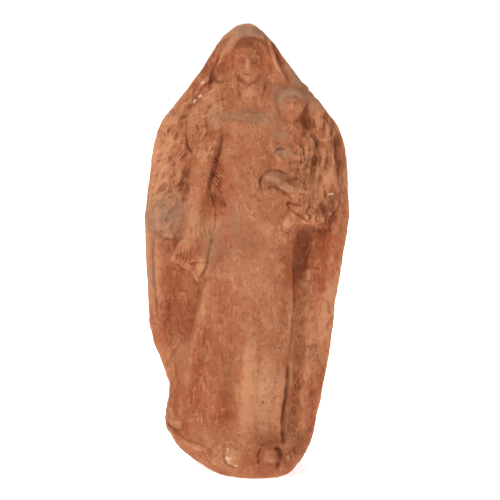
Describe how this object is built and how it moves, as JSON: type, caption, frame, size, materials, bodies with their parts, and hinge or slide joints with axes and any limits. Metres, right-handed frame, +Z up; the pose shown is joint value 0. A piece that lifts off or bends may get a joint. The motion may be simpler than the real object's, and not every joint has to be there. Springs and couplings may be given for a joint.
{
  "type": "terracotta mother and child relief",
  "caption": "Tall fired-clay relief of a veiled mother holding a child, standing in a concave mantle with a pointed hood, hollowed from behind, on a flat foot.",
  "frame": {"origin": "middle of the flat underside", "axes": "+Z up, the figure faces -Y, +X is to the right of someone who looks at its front"},
  "size_m": [0.2054, 0.0916, 0.45],
  "materials": {
    "clay": "matt, unglazed low-fired clay",
    "red_clay": "matt, unglazed low-fired clay",
    "pale_clay": "matt, unglazed low-fired clay",
    "dusty_clay": "matt, dusty, unglazed low-fired clay"
  },
  "bodies": {
    "root": {"plinth": "clay", "mantle_left_wing": "red_clay", "mantle_right_wing": "red_clay", "hood": "red_clay", "skirt": "pale_clay", "bodice": "clay", "neck": "pale_clay", "head": "pale_clay", "hair_left": "clay", "hair_right": "clay", "collar": "dusty_clay", "veil_fold": "pale_clay", "cloak_left": "clay", "cloak_right": "clay", "sleeve": "pale_clay", "right_hand": "clay", "held_fold": "pale_clay", "child_body": "clay", "child_head": "pale_clay", "child_hair": "dusty_clay", "child_right_arm": "clay", "child_left_arm": "clay", "child_right_leg": "dusty_clay", "child_left_leg": "clay", "left_hand": "pale_clay", "skirt_fold_left": "pale_clay", "skirt_fold_middle": "pale_clay", "skirt_fold_right": "pale_clay", "mantle_fold_right": "red_clay", "skirt_flare": "clay", "right_foot": "red_clay", "left_foot": "pale_clay", "hem": "clay"}
  },
  "joints": []
}
